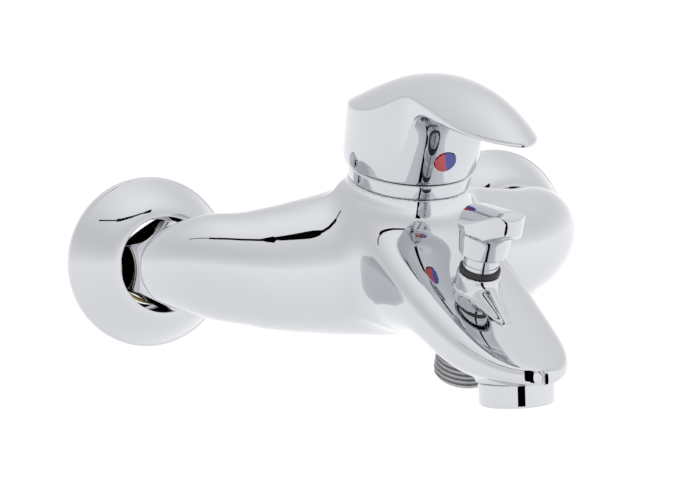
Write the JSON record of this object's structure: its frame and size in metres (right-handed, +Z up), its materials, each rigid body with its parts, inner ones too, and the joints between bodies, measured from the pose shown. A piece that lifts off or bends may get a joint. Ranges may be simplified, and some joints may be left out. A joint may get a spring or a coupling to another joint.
{
  "type": "wall mounted bath faucet",
  "caption": "Single lever bath faucet for wall mounting, with a round barrel body, sloping spout, pull diverter, hose outlet and two round wall flanges.",
  "frame": {"origin": "on the finished wall face, midway between the two supply outlets and at the height of the body's inlets", "axes": "+X along the wall to the right as seen from the room, +Y into the wall, +Z up"},
  "size_m": [0.2148, 0.1896, 0.1142],
  "materials": {
    "chrome": "polished",
    "brass": "machined",
    "thread_steel": "satin",
    "rubber": "matte",
    "steel": "satin",
    "dark_steel": "satin",
    "white_plastic": "matte",
    "pale_plastic": "matte",
    "grey_plastic": "matte",
    "ceramic": "lapped",
    "red": "gloss",
    "blue": "gloss"
  },
  "bodies": {
    "mixer_body": {"s_union_left": "brass", "s_union_right": "brass", "flange_left": "chrome", "flange_right": "chrome", "union_nut_left": "chrome", "union_nut_right": "chrome", "inlet_washer_left": "rubber", "inlet_washer_right": "rubber", "strainer_left": "steel", "strainer_right": "steel", "inlet_nipple_left": "brass", "inlet_nipple_right": "brass", "check_valve_left": "white_plastic", "check_valve_right": "white_plastic", "body_casting": "chrome", "cartridge_base": "white_plastic", "base_seal": "rubber", "fixed_disc": "ceramic", "cartridge_housing": "grey_plastic", "cartridge_nut": "brass", "trim_ring": "chrome", "diverter_bonnet": "chrome", "bonnet_washer": "rubber", "bonnet_seal": "rubber", "diverter_spring": "steel", "hose_nipple": "thread_steel", "hose_nipple_seal": "rubber", "aerator_housing": "chrome", "aerator_washer": "rubber", "aerator_insert": "pale_plastic", "aerator_screen": "steel"},
    "rotor": {"rotor": "white_plastic", "spindle_pin": "steel"},
    "lever": {"spindle": "steel", "handle": "chrome", "handle_screw": "dark_steel", "indicator_hot": "red", "indicator_cold": "blue"},
    "mixing_disc": {"moving_disc": "ceramic"},
    "diverter": {"diverter_stem": "brass", "diverter_washer": "rubber", "diverter_knob": "chrome"}
  },
  "joints": [
    {"name": "handle_turn", "type": "hinge", "parent": "mixer_body", "child": "rotor", "pos_m": [0, -0.07738, 0.02948], "axis": [0, -0.309, 0.9511], "range_deg": [-45, 45]},
    {"name": "handle_lift", "type": "hinge", "parent": "rotor", "child": "lever", "pos_m": [0, -0.07738, 0.02948], "axis": [-1, 0, 0], "range_deg": [0, 20]},
    {"name": "disc_slide", "type": "slide", "parent": "rotor", "child": "mixing_disc", "axis": [0, -0.9511, -0.309], "range_m": [0, 0.0031]},
    {"name": "diverter_pull", "type": "slide", "parent": "mixer_body", "child": "diverter", "axis": [0, -0.4067, 0.9135], "range_m": [0, 0.007], "stiffness_N_per_m": 150, "springref_m": -0.004, "deforming": ["diverter_spring"]}
  ],
  "couplings": [
    {"joint": "disc_slide", "follows": "handle_lift", "m_per_rad": 0.0086}
  ]
}
